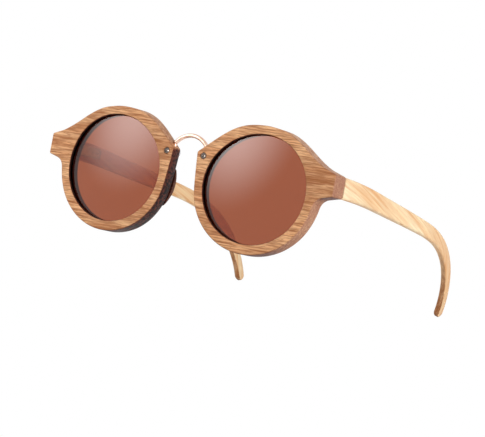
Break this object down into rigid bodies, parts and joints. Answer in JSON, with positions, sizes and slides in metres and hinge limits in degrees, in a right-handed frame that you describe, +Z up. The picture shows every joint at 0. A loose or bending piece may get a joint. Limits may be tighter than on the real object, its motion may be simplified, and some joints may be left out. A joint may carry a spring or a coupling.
{
  "type": "sunglasses",
  "caption": "Round sunglasses with flat wooden rims, a bent metal bridge, tinted lenses set in grooves, and hooked wooden temples that fold on spring hinges.",
  "frame": {"origin": "middle of the footprint, on the floor that the rims and the temple tips stand on", "axes": "+X to the wearer's left, +Y back along the temples, +Z up"},
  "size_m": [0.1428, 0.1414, 0.0522],
  "materials": {
    "front_wood": "oiled, striped grain",
    "temple_wood": "oiled, pale grain",
    "lens_tint": "polished brown tint",
    "bridge_metal": "polished, warm plating",
    "hinge_steel": "satin",
    "screw_steel": "polished",
    "spring_steel": "drawn wire",
    "bush_brass": "turned"
  },
  "bodies": {
    "front": {"bridge": "bridge_metal", "bridge_screws": "screw_steel", "bridge_nuts": "screw_steel", "left_rim": "front_wood", "left_lens": "lens_tint", "left_nose_pad": "front_wood", "left_hinge_leaf": "hinge_steel", "left_leaf_screws": "screw_steel", "left_hinge_screw": "screw_steel", "right_rim": "front_wood", "right_lens": "lens_tint", "right_nose_pad": "front_wood", "right_hinge_leaf": "hinge_steel", "right_leaf_screws": "screw_steel", "right_hinge_screw": "screw_steel"},
    "left_slider": {"left_slider": "hinge_steel", "left_spring_collar": "bush_brass"},
    "left_temple": {"left_temple": "temple_wood", "left_spring_box": "hinge_steel", "left_box_screws": "screw_steel", "left_spring_bush": "bush_brass", "left_spring": "spring_steel"},
    "right_slider": {"right_slider": "hinge_steel", "right_spring_collar": "bush_brass"},
    "right_temple": {"right_temple": "temple_wood", "right_spring_box": "hinge_steel", "right_box_screws": "screw_steel", "right_spring_bush": "bush_brass", "right_spring": "spring_steel"}
  },
  "joints": [
    {"name": "left_fold", "type": "hinge", "parent": "front", "child": "left_slider", "pos_m": [0.06559, -0.05844, 0.03299], "axis": [0, -0.0682, 0.9977], "range_deg": [0, 85]},
    {"name": "left_spring_travel", "type": "slide", "parent": "left_slider", "child": "left_temple", "axis": [-0.0436, 0.9967, 0.0681], "range_m": [0, 0.0012], "stiffness_N_per_m": 2500, "deforming": ["left_spring"]},
    {"name": "right_fold", "type": "hinge", "parent": "front", "child": "right_slider", "pos_m": [-0.06559, -0.05844, 0.03299], "axis": [0, 0.0682, -0.9977], "range_deg": [0, 77]},
    {"name": "right_spring_travel", "type": "slide", "parent": "right_slider", "child": "right_temple", "axis": [0.0436, 0.9967, 0.0681], "range_m": [0, 0.0012], "stiffness_N_per_m": 2500, "deforming": ["right_spring"]}
  ]
}
